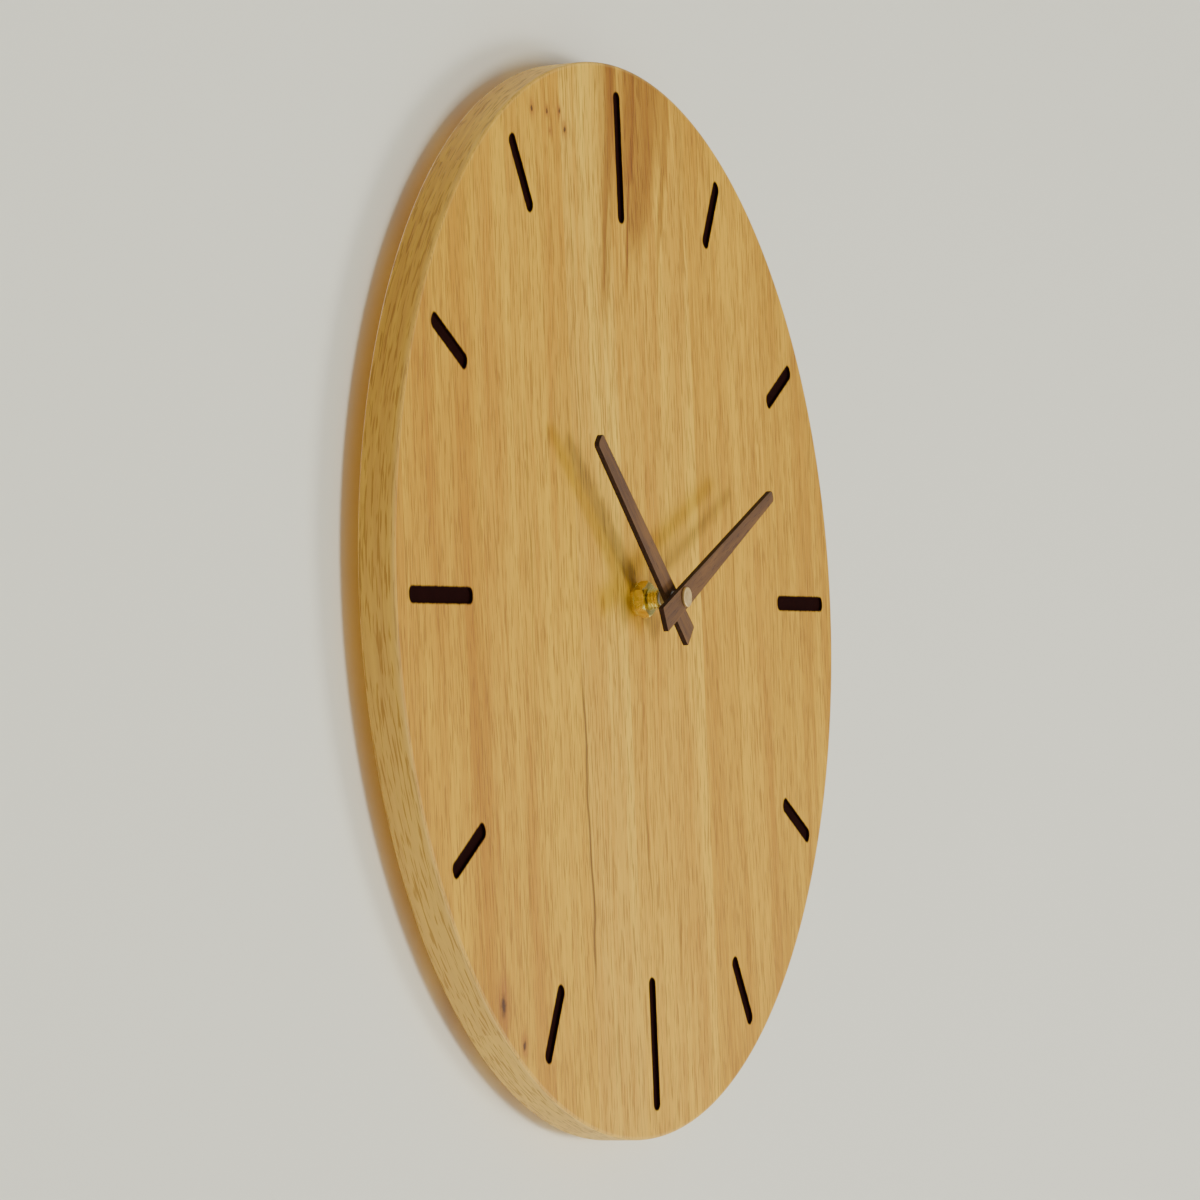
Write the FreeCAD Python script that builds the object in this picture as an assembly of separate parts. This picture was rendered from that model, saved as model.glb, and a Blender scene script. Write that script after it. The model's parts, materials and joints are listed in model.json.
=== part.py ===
import FreeCAD, Part
import math
import os

# A round wooden wall clock: an edge-glued oak dial with burnt hour grooves, two walnut hands
# and a battery quartz movement in a pocket at the back.  Millimetres.
# +Z is up, the dial faces -Y, and X runs to the right seen from the front.  The origin lies on
# the hands' axis, in the plane of the wall, which the back of the movement touches.

V = FreeCAD.Vector
Y_AXIS = V(0, 1, 0)

# ---- dial
DIAL_R = 200.0
DIAL_T = 14.0
DIAL_EDGE_R = 1.0
DIAL_EDGE_FLATS = 4
DIAL_STAND_OFF = 7.0            # from the wall to the back of the dial
STAVE_JOINTS = (-130.0, -52.0, -9.0, 62.0, 132.0)

# ---- hour grooves
MARK_W = 5.2
MARK_DEPTH = 1.0
MARK_CORNER_R = 2.2
MARK_TO_RIM = 10.5
LONG_MARK = 48.5                # at 12, 3, 6 and 9
SHORT_MARK = 29.5

# ---- hands
HAND_T = 2.0
HAND_TAIL = 21.0
HAND_TAIL_W = 9.6
HAND_CORNER_R = 0.6
MINUTE_LENGTH = 100.0
MINUTE_TIP_W = 4.5
HOUR_LENGTH = 83.0
HOUR_TIP_W = 6.0
MINUTE_AT = 66.0                # degrees clockwise from 12
HOUR_AT = -47.0

# ---- clearances
RUN = 0.05                      # radial, shaft in bearing
END_PLAY = 0.4                  # along an arbor
POCKET_GAP = 1.5                # case to pocket wall
CELL_GAP = 0.25                 # battery to its bay

# ---- battery, AA size
CELL_D = 14.5
CELL_BODY = 48.6
CELL_NUB = 1.4
CELL_NUB_D = 5.5
CELL_SUNK = 0.6                 # below the case's back face

# ---- movement case
CASE_W = 56.0
CASE_ABOVE = 22.0               # from the axis to the case's top
CASE_BELOW = 34.0
CASE_WALL = 1.2
SIDE_WALL = 1.5
BAY_FLOOR = 0.65
CASE_CORNER_R = 3.0
POCKET_CORNER_R = 6.0
GASKET_T = 1.0
GASKET_R = 12.0
POST_R = 1.6
STAND_OFF_R = 1.2

# ---- threaded stem and its nut
STEM_D = 8.0
STEM_HOLE_GAP = 0.25
STEM_PROUD = 9.75               # in front of the dial
STEM_FLANGE_R = 5.5
STEM_FLANGE_T = 0.6
STEM_CHAMFER = 0.5
NUT_ACROSS_FLATS = 12.0
NUT_T = 4.0
NUT_CHAMFER = 0.5
WASHER_D = 12.5
WASHER_T = 1.5
WASHER_BORE_GAP = 0.2

# ---- arbors of the hands
HOUR_PIPE_R = 2.5
MINUTE_ARBOR_R = 1.7
PIPE_PROUD = 0.4                # hour pipe in front of the hour hand
BUSH_GAP = 1.05                 # stem to hour bush
HOUR_COLLAR = 2.2
HOUR_COLLAR_R = 3.4
HOUR_NECK_R = 3.0
MINUTE_GAP = 1.2                # hour pipe to minute bush
MINUTE_COLLAR = 1.2
MINUTE_COLLAR_R = 3.0
MINUTE_NECK_R = 2.4
CAP_NUT_R = 3.75
CAP_NUT_T = 1.1
ARBOR_IN_CAP = 0.8

# ---- gear train.  A level is its distance from the inside of the front wall and its thickness.
HOUR_LEVEL = (0.4, 1.2)
MOTION_LEVEL = (2.0, 1.0)
CENTER_LEVEL = (3.6, 0.8)
THIRD_LEVEL = (5.2, 0.8)
PLATE_LEVEL = (6.6, 1.0)
FOURTH_LEVEL = (8.2, 0.8)
FIFTH_LEVEL = (10.2, 0.8)
MOTION_MODULE = 0.4
CENTER_MODULE = 0.3
FOURTH_MODULE = 0.25
FIFTH_MODULE = 0.22
MINUTE_TEETH, MOTION_WHEEL_TEETH = 12, 36
MOTION_PINION_TEETH, HOUR_TEETH = 10, 40
KNOB_TEETH = 12
CENTER_TEETH, THIRD_PINION_TEETH = 60, 8
THIRD_TEETH, FOURTH_PINION_TEETH = 64, 8
FOURTH_TEETH, FIFTH_PINION_TEETH = 60, 10
FIFTH_TEETH, ROTOR_TEETH = 50, 10
PRESSURE_ANGLE = math.radians(30)
ADDENDUM = 0.8                  # in modules
DEDENDUM = 1.15
TOOTH_SHARE = 0.45              # of the pitch, the rest is gap and backlash
ARBOR_R = 0.6
PIVOT_R = 0.4
PIVOT_DEPTH = 0.7
MOTION_POST_R = 0.8
HUB_R = 2.3
HUB_T = 0.3

# ---- setting knob
KNOB_R = 5.2
KNOB_RIM_R = 5.9
KNOB_RIM_T = 1.1
KNOB_SUNK = 0.2
KNOB_GAP = 0.4
KNOB_SHAFT_R = 1.0
KNOB_PIN_R = 0.6
KNOB_SCALLOPS = 16
KNOB_SCALLOP_R = 0.7

# ---- motor and electronics
MAGNET_R = 2.0
MAGNET_T = 1.4
STATOR_GAP = 0.4
STATOR_RING_R = 4.2
STATOR_ARM = 3.2                # width of the arms that meet the coil core
STATOR_LEG = (15.0, 18.0)       # x of the leg beside the coil
COIL_X = 22.8
COIL_W = 5.6
COIL_Z = (-4.8, 13.0)           # bobbin's two ends
CORE_W = 3.0
CORE_T = 1.0
BOBBIN_WALL = 0.5
BOARD = (-26.0, -12.0, -15.0, 5.0)
BOARD_T = 1.0
BOARD_TO_PLATE = 1.2
CHIP_W = 5.0
CHIP_T = 1.0
CRYSTAL_R = 1.0
CRYSTAL_L = 6.0
CRYSTAL_GAP = 0.5               # to the back cover
LEAF_T = 0.4
CONTACT_W = 9.0
LEAF_BOW = 1.5
BAY_WALL = 0.8
STRIP_H = 1.4

# ---- hanger and bumpers
HANGER_DROP = 65.0              # from the dial's top to the keyhole
HANGER_W = 50.0
HANGER_H = 24.0
HANGER_T = 1.5
KEYHOLE_R = 4.5
KEYHOLE_SLOT_W = 4.4
KEYHOLE_TRAVEL = 7.0
HANGER_CORNER_R = 2.0
CAVITY_W = 14.0                 # room behind the plate for the wall screw's head
CAVITY_DEPTH = 4.5
CAVITY_END = 1.0
SCREW_SPAN = 38.0
SCREW_HEAD_R = 3.2
SCREW_R = 1.5
SCREW_L = 9.0
SCREW_RECESS = (0.8, 3.2, 0.7)  # width, length and depth of the cross
BUMPER_R = 6.0
BUMPER_EDGE_R = 1.0
BUMPER_TO_RIM = 25.0
BUMPER_AT = 31.0                # degrees each side of 6 o'clock

# ---- what follows from the sizes above
BOARD_LEVEL = (sum(PLATE_LEVEL) + BOARD_TO_PLATE, BOARD_T)
WORKS_DEPTH = 2 * CASE_WALL + sum(BOARD_LEVEL) + 2 * CRYSTAL_R + CRYSTAL_GAP
CASE_DEPTH = max(CELL_SUNK + CELL_D + CELL_GAP + BAY_FLOOR, WORKS_DEPTH)
FACE_Y = -(DIAL_STAND_OFF + DIAL_T)
BACK_Y = -DIAL_STAND_OFF
POCKET_Y = -(CASE_DEPTH + GASKET_T)
WALL_IN = -CASE_DEPTH + CASE_WALL       # inside of the front wall
BACK_IN = -CASE_WALL                    # inside of the back cover
STEM_R = STEM_D / 2
STEM_BORE_R = HOUR_PIPE_R + RUN
STEM_END = FACE_Y - STEM_PROUD
HOUR_BUSH_Y = STEM_END - BUSH_GAP
HOUR_BACK = HOUR_BUSH_Y - HOUR_COLLAR
HOUR_FRONT = HOUR_BACK - HAND_T
PIPE_END = HOUR_FRONT - PIPE_PROUD
MINUTE_BUSH_Y = PIPE_END - MINUTE_GAP
MINUTE_BACK = MINUTE_BUSH_Y - MINUTE_COLLAR
MINUTE_FRONT = MINUTE_BACK - HAND_T
ARBOR_END = MINUTE_FRONT - ARBOR_IN_CAP

MOTION_CENTERS = MOTION_MODULE * (MINUTE_TEETH + MOTION_WHEEL_TEETH) / 2
HOUR_MODULE = 2 * MOTION_CENTERS / (HOUR_TEETH + MOTION_PINION_TEETH)
THIRD_CENTERS = CENTER_MODULE * (CENTER_TEETH + THIRD_PINION_TEETH) / 2
THIRD_MODULE = 2 * THIRD_CENTERS / (THIRD_TEETH + FOURTH_PINION_TEETH)
FIFTH_CENTERS = FOURTH_MODULE * (FOURTH_TEETH + FIFTH_PINION_TEETH) / 2
ROTOR_CENTERS = FIFTH_MODULE * (FIFTH_TEETH + ROTOR_TEETH) / 2
KNOB_CENTERS = MOTION_MODULE * (MOTION_WHEEL_TEETH + KNOB_TEETH) / 2

TO_MOTION, TO_KNOB, TO_THIRD = math.radians(135), math.radians(150), 0.0
TO_FIFTH, TO_ROTOR = math.radians(90), math.radians(30)


def stepped(start, distance, angle):
    """The point a distance away from another, at an angle from +X towards +Z."""
    return (start[0] + distance * math.cos(angle), start[1] + distance * math.sin(angle))


CENTER = (0.0, 0.0)
MOTION = stepped(CENTER, MOTION_CENTERS, TO_MOTION)
KNOB = stepped(MOTION, KNOB_CENTERS, TO_KNOB)
THIRD = stepped(CENTER, THIRD_CENTERS, TO_THIRD)
FIFTH = stepped(CENTER, FIFTH_CENTERS, TO_FIFTH)
ROTOR = stepped(FIFTH, ROTOR_CENTERS, TO_ROTOR)

INSIDE_X = CASE_W / 2 - SIDE_WALL
INSIDE_TOP = CASE_ABOVE - SIDE_WALL
CELL_Z = -CASE_BELOW + SIDE_WALL + CELL_GAP + CELL_D / 2
CELL_Y = -(CELL_SUNK + CELL_D / 2)
BAY_LOW = -CASE_BELOW + SIDE_WALL
BAY_TOP = CELL_Z + CELL_D / 2 + CELL_GAP
INSIDE_LOW = BAY_TOP + BAY_WALL
HANGER_Z = DIAL_R - HANGER_DROP
KEYHOLE_Z = HANGER_Z - (KEYHOLE_TRAVEL + KEYHOLE_SLOT_W / 2 - KEYHOLE_R) / 2
SCREW_PLACES = [(side * SCREW_SPAN / 2, HANGER_Z) for side in (-1, 1)]

nodes = {}


# ---- basic shapes
def rod(radius, front, back, at=CENTER):
    """A round bar along Y."""
    return Part.makeCylinder(radius, back - front, V(at[0], front, at[1]), Y_AXIS)


def tube(radius, bore, front, back, at=CENTER):
    return rod(radius, front, back, at).cut(rod(bore, front, back, at))


def block(x, y, z):
    """A box from its low and high x, y and z."""
    return Part.makeBox(x[1] - x[0], y[1] - y[0], z[1] - z[0], V(x[0], y[0], z[0]))


def edges_along(shape, axis):
    """The straight edges that run along an axis."""
    straight = [e for e in shape.Edges if isinstance(e.Curve, Part.Line)]
    return [e for e in straight if abs(abs(e.Curve.Direction.dot(axis)) - 1) < 1e-6]


def rounded_block(x, y, z, radius):
    """A box with its four edges along Y rounded."""
    body = block(x, y, z)
    return body.makeFillet(radius, edges_along(body, Y_AXIS))


def prism(outline, front, back):
    """A flat outline of (x, z) points, made solid along Y."""
    corners = [V(x, front, z) for x, z in outline]
    face = Part.Face(Part.makePolygon(corners + corners[:1]))
    return face.extrude(V(0, back - front, 0))


def turned(shape, degrees):
    """A copy turned about the hands' axis, clockwise seen from the front."""
    copy = shape.copy()
    copy.rotate(V(0, 0, 0), Y_AXIS, degrees)
    return copy


def level(which):
    """The front and back of a level of the train."""
    return WALL_IN + which[0], WALL_IN + which[0] + which[1]


# ---- gears
def gear(module, teeth, front, back, at, phase):
    """An involute gear with one tooth centred at the phase angle."""
    pitch_r = module * teeth / 2
    base_r = pitch_r * math.cos(PRESSURE_ANGLE)
    tip_r = pitch_r + ADDENDUM * module
    root_r = pitch_r - DEDENDUM * module
    flank_r = max(base_r, root_r)

    def half_tooth(radius):
        turn = math.acos(min(1.0, base_r / radius))
        swept = math.tan(turn) - turn
        at_pitch = math.tan(PRESSURE_ANGLE) - PRESSURE_ANGLE
        return TOOTH_SHARE * math.pi / teeth + at_pitch - swept

    def point(radius, angle):
        return V(at[0] + radius * math.cos(angle), front, at[1] + radius * math.sin(angle))

    edges = []
    step = 2 * math.pi / teeth
    middle_r = (flank_r + tip_r) / 2
    for tooth in range(teeth):
        angle = phase + tooth * step
        foot, waist, tip = half_tooth(flank_r), half_tooth(middle_r), half_tooth(tip_r)
        rising = [point(flank_r, angle - foot), point(middle_r, angle - waist), point(tip_r, angle - tip)]
        crown = [point(tip_r, angle - tip), point(tip_r, angle), point(tip_r, angle + tip)]
        falling = [point(tip_r, angle + tip), point(middle_r, angle + waist), point(flank_r, angle + foot)]
        valley = [point(root_r, angle + foot), point(root_r, angle + step / 2),
                  point(root_r, angle + step - foot)]
        radial = flank_r > root_r + 1e-6
        if radial:
            edges.append(Part.makeLine(point(root_r, angle - foot), rising[0]))
        edges += [Part.Arc(*arc).toShape() for arc in (rising, crown, falling)]
        if radial:
            edges.append(Part.makeLine(falling[2], valley[0]))
        edges.append(Part.Arc(*valley).toShape())
    return Part.Face(Part.Wire(edges)).extrude(V(0, back - front, 0))


def meshed(phase, teeth, direction, partner_teeth):
    """The phase that puts a partner's gap on a tooth, along the line between the two axes."""
    pitch = 2 * math.pi / teeth
    part_way = ((direction - phase) % pitch) / pitch
    return direction + math.pi + (part_way + 0.5) * 2 * math.pi / partner_teeth


# ---- dial
def hanger_plate_blank(front, back):
    x, z = HANGER_W / 2, HANGER_H / 2
    return rounded_block((-x, x), (front, back), (HANGER_Z - z, HANGER_Z + z), HANGER_CORNER_R)


def hanger_cuts():
    """The room in the wood for the hanger plate, its screws and the wall screw's head."""
    recess_y = BACK_Y - HANGER_T
    half = CAVITY_W / 2
    floor = KEYHOLE_Z - KEYHOLE_R - CAVITY_END
    ceiling = KEYHOLE_Z + KEYHOLE_TRAVEL + KEYHOLE_R + CAVITY_END
    cavity = rounded_block((-half, half), (recess_y - CAVITY_DEPTH, recess_y), (floor, ceiling), half / 2)
    pilots = [rod(SCREW_R, BACK_Y - SCREW_L, BACK_Y, place) for place in SCREW_PLACES]
    return [hanger_plate_blank(recess_y, BACK_Y + 1), cavity] + pilots


def hour_marks():
    """The twelve grooves, cut from the face."""
    outer = DIAL_R - MARK_TO_RIM
    marks = []
    for hour in range(12):
        length = LONG_MARK if hour % 3 == 0 else SHORT_MARK
        mark = rounded_block((-MARK_W / 2, MARK_W / 2), (FACE_Y - 1, FACE_Y + MARK_DEPTH),
                             (outer - length, outer), MARK_CORNER_R)
        marks.append(turned(mark, 30 * hour))
    return marks


def turned_disc():
    """The disc, its rims eased by a few narrow flats that follow a quarter round."""
    def rim(step):
        angle = math.pi / 2 * step / DIAL_EDGE_FLATS
        return DIAL_R - DIAL_EDGE_R * (1 - math.sin(angle)), DIAL_EDGE_R * (1 - math.cos(angle))

    steps = [rim(step) for step in range(DIAL_EDGE_FLATS + 1)]
    profile = [V(0, FACE_Y, 0)] + [V(0, FACE_Y + inward, radius) for radius, inward in steps]
    profile += [V(0, BACK_Y - inward, radius) for radius, inward in reversed(steps)] + [V(0, BACK_Y, 0)]
    face = Part.Face(Part.makePolygon(profile + profile[:1]))
    return face.revolve(V(0, 0, 0), Y_AXIS, 360)


def make_dial():
    dial = turned_disc()
    side = CASE_W / 2 + POCKET_GAP
    pocket = rounded_block((-side, side), (POCKET_Y, BACK_Y + 1),
                           (-CASE_BELOW - POCKET_GAP, CASE_ABOVE + POCKET_GAP), POCKET_CORNER_R)
    stem_hole = rod(STEM_R + STEM_HOLE_GAP, FACE_Y - 1, POCKET_Y + 1)
    dial = dial.cut([pocket, stem_hole] + hanger_cuts() + hour_marks())
    bounds = (-DIAL_R - 1,) + STAVE_JOINTS + (DIAL_R + 1,)
    for number in range(len(bounds) - 1):
        strip = block((bounds[number], bounds[number + 1]), (FACE_Y - 1, BACK_Y + 1),
                      (-DIAL_R - 1, DIAL_R + 1))
        nodes["stave_%d" % (number + 1)] = dial.common(strip)


# ---- hands and what holds them
def hand(length, tip_w, front, hole_r, degrees):
    """A flat hand that narrows evenly from its square tail to its tip."""
    tail, tip = HAND_TAIL_W / 2, tip_w / 2
    blade = prism([(-tail, -HAND_TAIL), (tail, -HAND_TAIL), (tip, length), (-tip, length)],
                  front, front + HAND_T)
    corners = edges_along(blade, Y_AXIS)
    blade = blade.makeFillet(HAND_CORNER_R, corners)
    return turned(blade.cut(rod(hole_r, front, front + HAND_T)), degrees)


def make_hands():
    nodes["hour_hand"] = hand(HOUR_LENGTH, HOUR_TIP_W, HOUR_FRONT, HOUR_NECK_R, HOUR_AT)
    collar = tube(HOUR_COLLAR_R, HOUR_PIPE_R, HOUR_BACK, HOUR_BUSH_Y)
    neck = tube(HOUR_NECK_R, HOUR_PIPE_R, HOUR_FRONT, HOUR_BACK)
    nodes["hour_hand_bush"] = collar.fuse(neck).removeSplitter()

    nodes["minute_hand"] = hand(MINUTE_LENGTH, MINUTE_TIP_W, MINUTE_FRONT, MINUTE_NECK_R, MINUTE_AT)
    collar = tube(MINUTE_COLLAR_R, MINUTE_ARBOR_R, MINUTE_BACK, MINUTE_BUSH_Y)
    neck = tube(MINUTE_NECK_R, MINUTE_ARBOR_R, MINUTE_FRONT, MINUTE_BACK)
    nodes["minute_hand_bush"] = collar.fuse(neck).removeSplitter()
    cap = rod(CAP_NUT_R, MINUTE_FRONT - CAP_NUT_T, MINUTE_FRONT)
    nodes["minute_hand_nut"] = cap.cut(rod(MINUTE_ARBOR_R, ARBOR_END, MINUTE_FRONT))


def make_stem():
    stem = rod(STEM_R, STEM_END, WALL_IN)
    front_rim = [e for e in stem.Edges
                 if isinstance(e.Curve, Part.Circle) and abs(e.Curve.Center.y - STEM_END) < 1e-6]
    stem = stem.makeChamfer(STEM_CHAMFER, front_rim)
    flange = rod(STEM_FLANGE_R, WALL_IN - STEM_FLANGE_T, WALL_IN)
    bore = rod(STEM_BORE_R, STEM_END, WALL_IN)
    nodes["center_stem"] = stem.fuse(flange).cut(bore).removeSplitter()
    nodes["case_gasket"] = tube(GASKET_R, STEM_R + STEM_HOLE_GAP, POCKET_Y, -CASE_DEPTH)
    washer_bore = STEM_R + WASHER_BORE_GAP
    nodes["stem_washer"] = tube(WASHER_D / 2, washer_bore, FACE_Y - WASHER_T, FACE_Y)

    back = FACE_Y - WASHER_T
    corner_r = NUT_ACROSS_FLATS / 2 / math.cos(math.pi / 6)
    outline = [stepped(CENTER, corner_r, math.radians(60 * k + 30)) for k in range(6)]
    nut = prism(outline, back - NUT_T, back)
    # Both ends are turned: a cone takes the sharp corners off.
    reach = corner_r + NUT_T
    for end, inward in ((back - NUT_T, 1), (back, -1)):
        cone = Part.makeCone(corner_r - NUT_CHAMFER, reach, reach - corner_r + NUT_CHAMFER,
                             V(0, end, 0), V(0, inward, 0))
        nut = nut.common(cone)
    nodes["stem_nut"] = nut.cut(rod(STEM_R, back - NUT_T, back))


# ---- movement
def arbor(front, back, at, front_pivot, back_pivot):
    """An arbor with a thinner pivot at each end."""
    body = rod(ARBOR_R, front, back, at)
    return body.fuse([rod(PIVOT_R, front_pivot, front, at), rod(PIVOT_R, back, back_pivot, at)])


def joined(shapes):
    return shapes[0].fuse(shapes[1:]).removeSplitter()


def make_train():
    hour_at, motion_at = level(HOUR_LEVEL), level(MOTION_LEVEL)
    center_at, third_at = level(CENTER_LEVEL), level(THIRD_LEVEL)
    plate_at = level(PLATE_LEVEL)
    fourth_at, fifth_at = level(FOURTH_LEVEL), level(FIFTH_LEVEL)

    # Motion work: minute pinion, motion wheel and pinion, hour wheel, knob gear.
    arbor_back = center_at[1] + HUB_T
    shaft = rod(MINUTE_ARBOR_R, ARBOR_END, arbor_back)
    pinion = gear(MOTION_MODULE, MINUTE_TEETH, *motion_at, CENTER, 0.0)
    seat = rod(PIVOT_R + RUN, arbor_back - 2 * PIVOT_DEPTH, arbor_back)
    nodes["minute_arbor"] = joined([shaft, pinion]).cut(seat)

    wheel_phase = meshed(0.0, MINUTE_TEETH, TO_MOTION, MOTION_WHEEL_TEETH)
    wheel = gear(MOTION_MODULE, MOTION_WHEEL_TEETH, *motion_at, MOTION, wheel_phase)
    pinion = gear(HOUR_MODULE, MOTION_PINION_TEETH, hour_at[0], motion_at[0], MOTION, 0.0)
    post_bore = rod(MOTION_POST_R + RUN, hour_at[0], motion_at[1], MOTION)
    nodes["motion_wheel"] = joined([wheel, pinion]).cut(post_bore)

    hour_phase = meshed(0.0, MOTION_PINION_TEETH, TO_MOTION + math.pi, HOUR_TEETH)
    wheel = gear(HOUR_MODULE, HOUR_TEETH, *hour_at, CENTER, hour_phase)
    pipe = rod(HOUR_PIPE_R, PIPE_END, hour_at[1])
    nodes["hour_wheel"] = joined([wheel, pipe]).cut(rod(MINUTE_ARBOR_R + RUN, PIPE_END, hour_at[1]))

    knob_phase = meshed(wheel_phase, MOTION_WHEEL_TEETH, TO_KNOB, KNOB_TEETH)
    pinion = gear(MOTION_MODULE, KNOB_TEETH, *motion_at, KNOB, knob_phase)
    rim_back = BACK_IN - END_PLAY
    rim = rod(KNOB_RIM_R, rim_back - KNOB_RIM_T, rim_back, KNOB)
    grip = rod(KNOB_R, rim_back, -KNOB_SUNK, KNOB)
    scallops = []
    for number in range(KNOB_SCALLOPS):
        place = stepped(KNOB, KNOB_R, 2 * math.pi * number / KNOB_SCALLOPS)
        scallops.append(rod(KNOB_SCALLOP_R, rim_back, -KNOB_SUNK, place))
    shaft = rod(KNOB_SHAFT_R, motion_at[1], rim_back, KNOB)
    pin_bore = rod(KNOB_PIN_R + RUN, motion_at[0], motion_at[1], KNOB)
    nodes["setting_knob"] = joined([pinion.cut(pin_bore), shaft, rim, grip.cut(scallops)])

    # Going train, from the center wheel up to the rotor.
    hub = rod(HUB_R, center_at[0] - HUB_T, center_at[0])
    wheel = gear(CENTER_MODULE, CENTER_TEETH, *center_at, CENTER, 0.0)
    grip_bore = rod(MINUTE_ARBOR_R + RUN, center_at[0] - HUB_T, center_at[1])
    nodes["center_wheel"] = joined([wheel, hub]).cut(grip_bore)

    front_pivot = WALL_IN - PIVOT_DEPTH + END_PLAY / 2
    back_pivot = BACK_IN + PIVOT_DEPTH - END_PLAY / 2
    third_phase = meshed(0.0, CENTER_TEETH, TO_THIRD, THIRD_PINION_TEETH)
    nodes["third_wheel"] = joined([
        gear(CENTER_MODULE, THIRD_PINION_TEETH, center_at[0], third_at[0], THIRD, third_phase),
        gear(THIRD_MODULE, THIRD_TEETH, *third_at, THIRD, 0.0),
        arbor(WALL_IN + END_PLAY / 2, plate_at[0] - END_PLAY / 2, THIRD, front_pivot, plate_at[1])])

    fourth_phase = meshed(0.0, THIRD_TEETH, TO_THIRD + math.pi, FOURTH_PINION_TEETH)
    nodes["fourth_wheel"] = joined([
        gear(THIRD_MODULE, FOURTH_PINION_TEETH, *third_at, CENTER, fourth_phase),
        gear(FOURTH_MODULE, FOURTH_TEETH, *fourth_at, CENTER, 0.0),
        arbor(arbor_back + END_PLAY / 2, BACK_IN - END_PLAY / 2, CENTER,
              arbor_back - PIVOT_DEPTH, back_pivot)])

    fifth_phase = meshed(0.0, FOURTH_TEETH, TO_FIFTH, FIFTH_PINION_TEETH)
    nodes["fifth_wheel"] = joined([
        gear(FOURTH_MODULE, FIFTH_PINION_TEETH, fourth_at[0], fifth_at[0], FIFTH, fifth_phase),
        gear(FIFTH_MODULE, FIFTH_TEETH, *fifth_at, FIFTH, 0.0),
        arbor(plate_at[1] + END_PLAY / 2, BACK_IN - END_PLAY / 2, FIFTH, plate_at[0], back_pivot)])

    rotor_phase = meshed(0.0, FIFTH_TEETH, TO_ROTOR, ROTOR_TEETH)
    nodes["rotor_pinion"] = joined([
        gear(FIFTH_MODULE, ROTOR_TEETH, *fifth_at, ROTOR, rotor_phase),
        arbor(plate_at[1] + END_PLAY / 2, BACK_IN - END_PLAY / 2, ROTOR, plate_at[0], back_pivot)])
    magnet_front = sum(fourth_at) / 2 - MAGNET_T / 2
    nodes["rotor_magnet"] = tube(MAGNET_R, ARBOR_R, magnet_front, magnet_front + MAGNET_T, ROTOR)


def post_places():
    """Where the front shell's four posts carry the middle plate."""
    left, right = -INSIDE_X + 3.5, STATOR_LEG[1] - 3.0
    low, high = INSIDE_LOW + 3.5, INSIDE_TOP - 2.5
    return [(left, low), (left, high), (right, low), (right, high)]


def make_case():
    plate_at = level(PLATE_LEVEL)
    half = CASE_W / 2
    shell = rounded_block((-half, half), (-CASE_DEPTH, BACK_IN), (-CASE_BELOW, CASE_ABOVE), CASE_CORNER_R)
    works = block((-INSIDE_X, INSIDE_X), (WALL_IN, BACK_IN), (INSIDE_LOW, INSIDE_TOP))
    trough = Part.makeCylinder(CELL_D / 2 + CELL_GAP, 2 * INSIDE_X, V(-INSIDE_X, CELL_Y, CELL_Z), V(1, 0, 0))
    bay = block((-INSIDE_X, INSIDE_X), (CELL_Y, BACK_IN), (BAY_LOW, BAY_TOP))
    shell = shell.cut([works, trough, bay])
    # The battery's contacts leave the bay through a notch at each end of its wall.
    notch_y = (CELL_Y - CONTACT_W / 2, BACK_IN)
    notches = [block((x, x + 2 * LEAF_T), notch_y, (CELL_Z, INSIDE_LOW))
               for x in (-INSIDE_X, INSIDE_X - 2 * LEAF_T)]
    stem_seat = [rod(STEM_R, -CASE_DEPTH, WALL_IN), rod(STEM_FLANGE_R, WALL_IN - STEM_FLANGE_T, WALL_IN)]
    third_seat = rod(PIVOT_R + RUN, WALL_IN - PIVOT_DEPTH, WALL_IN, THIRD)
    posts = [rod(POST_R, WALL_IN, plate_at[0], place) for place in post_places()]
    motion_at = level(MOTION_LEVEL)
    posts.append(rod(MOTION_POST_R, WALL_IN, motion_at[1] + END_PLAY / 2, MOTION))
    posts.append(rod(KNOB_PIN_R, WALL_IN, motion_at[1] - END_PLAY / 2, KNOB))
    nodes["case_front"] = joined([shell.cut(notches + stem_seat + [third_seat])] + posts)

    board_back = level(BOARD_LEVEL)[1]
    fourth_at = level(FOURTH_LEVEL)
    cover = rounded_block((-half, half), (BACK_IN, 0), (-CASE_BELOW, CASE_ABOVE), CASE_CORNER_R)
    bay_door = block((-INSIDE_X, INSIDE_X), (BACK_IN, 0), (BAY_LOW, BAY_TOP))
    seats = [rod(PIVOT_R + RUN, BACK_IN, BACK_IN + PIVOT_DEPTH, at) for at in (CENTER, FIFTH, ROTOR)]
    knob_hole = rod(KNOB_R + KNOB_GAP, BACK_IN, 0, KNOB)
    stand_offs = [rod(STAND_OFF_R, board_back, BACK_IN, at)
                  for at in ((BOARD[0] + 2, BOARD[2] + 2), (BOARD[1] - 2, BOARD[3] - 2))]
    arm = STATOR_ARM / 2
    stand_offs += [rod(STAND_OFF_R, fourth_at[1], BACK_IN, (COIL_X, z))
                   for z in (COIL_Z[0] - arm, COIL_Z[1] + arm)]
    nodes["case_back"] = joined([cover.cut(seats + [knob_hole, bay_door])] + stand_offs)

    plate = block((-INSIDE_X + 1, STATOR_LEG[1]), plate_at, (INSIDE_LOW + 0.5, INSIDE_TOP - 0.5))
    holes = [rod(PIVOT_R + RUN, *plate_at, at) for at in (THIRD, FIFTH, ROTOR)]
    holes.append(rod(ARBOR_R + RUN, *plate_at, CENTER))
    holes.append(rod(KNOB_SHAFT_R + RUN, *plate_at, KNOB))
    nodes["middle_plate"] = plate.cut(holes)


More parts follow.
